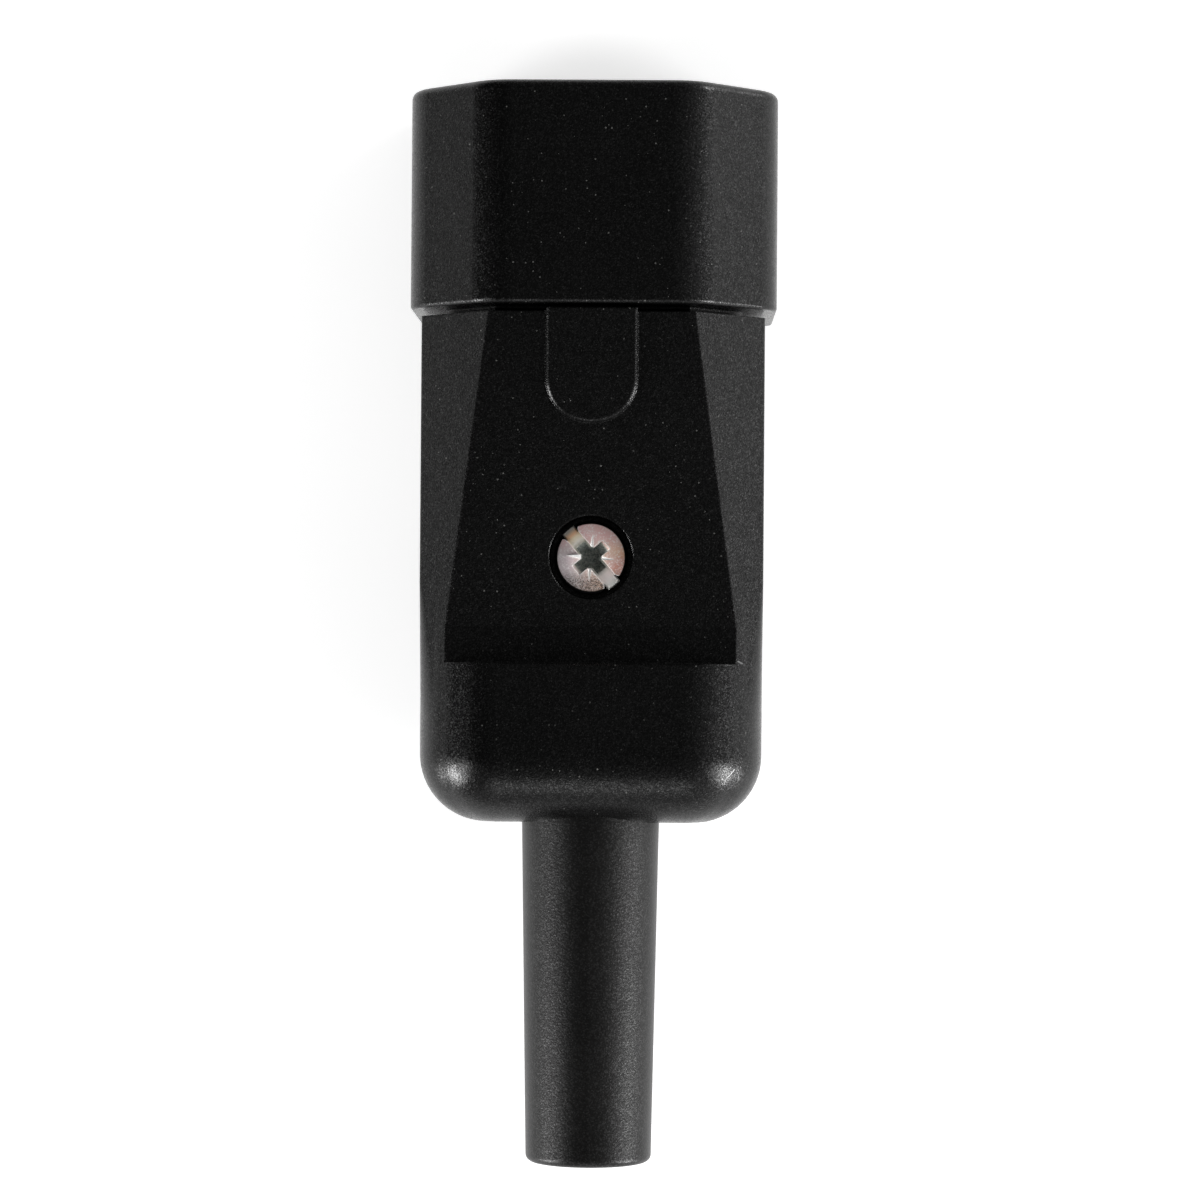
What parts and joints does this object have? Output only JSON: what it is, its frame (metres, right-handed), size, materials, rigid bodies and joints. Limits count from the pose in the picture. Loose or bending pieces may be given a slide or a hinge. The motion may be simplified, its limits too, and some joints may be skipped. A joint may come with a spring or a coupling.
{
  "type": "rewireable power plug",
  "caption": "Inline rewireable male power plug: hooded flat pins, two-part grip body closed by a cover screw, cord clamp inside and a tapered cable boot.",
  "frame": {"origin": "middle of the plug's length and width, on the plane of the hood's underside", "axes": "+Y is the way the plug is pushed into a connector, +Z is the side of the cover screw, +X completes the frame"},
  "size_m": [0.0302, 0.0882, 0.022],
  "materials": {
    "housing": "black, fine spark-eroded grain",
    "boot": "black, satin",
    "zinc_steel": "bright zinc plated",
    "plated_brass": "nickel plated",
    "spring_bronze": "rolled strip",
    "clamp": "moulded, dark grey"
  },
  "bodies": {
    "root": {"shroud": "housing", "upper_shell": "housing", "lower_shell": "housing", "cable_boot": "boot", "cover_screw": "zinc_steel", "cover_nut": "zinc_steel", "line_pin": "plated_brass", "neutral_pin": "plated_brass", "earth_pin": "plated_brass", "line_terminal_screw": "zinc_steel", "neutral_terminal_screw": "zinc_steel", "earth_terminal_screw": "zinc_steel", "line_wire_guard": "spring_bronze", "neutral_wire_guard": "spring_bronze", "earth_wire_guard": "spring_bronze", "cord_clamp": "clamp", "left_clamp_screw": "zinc_steel", "right_clamp_screw": "zinc_steel"}
  },
  "joints": []
}
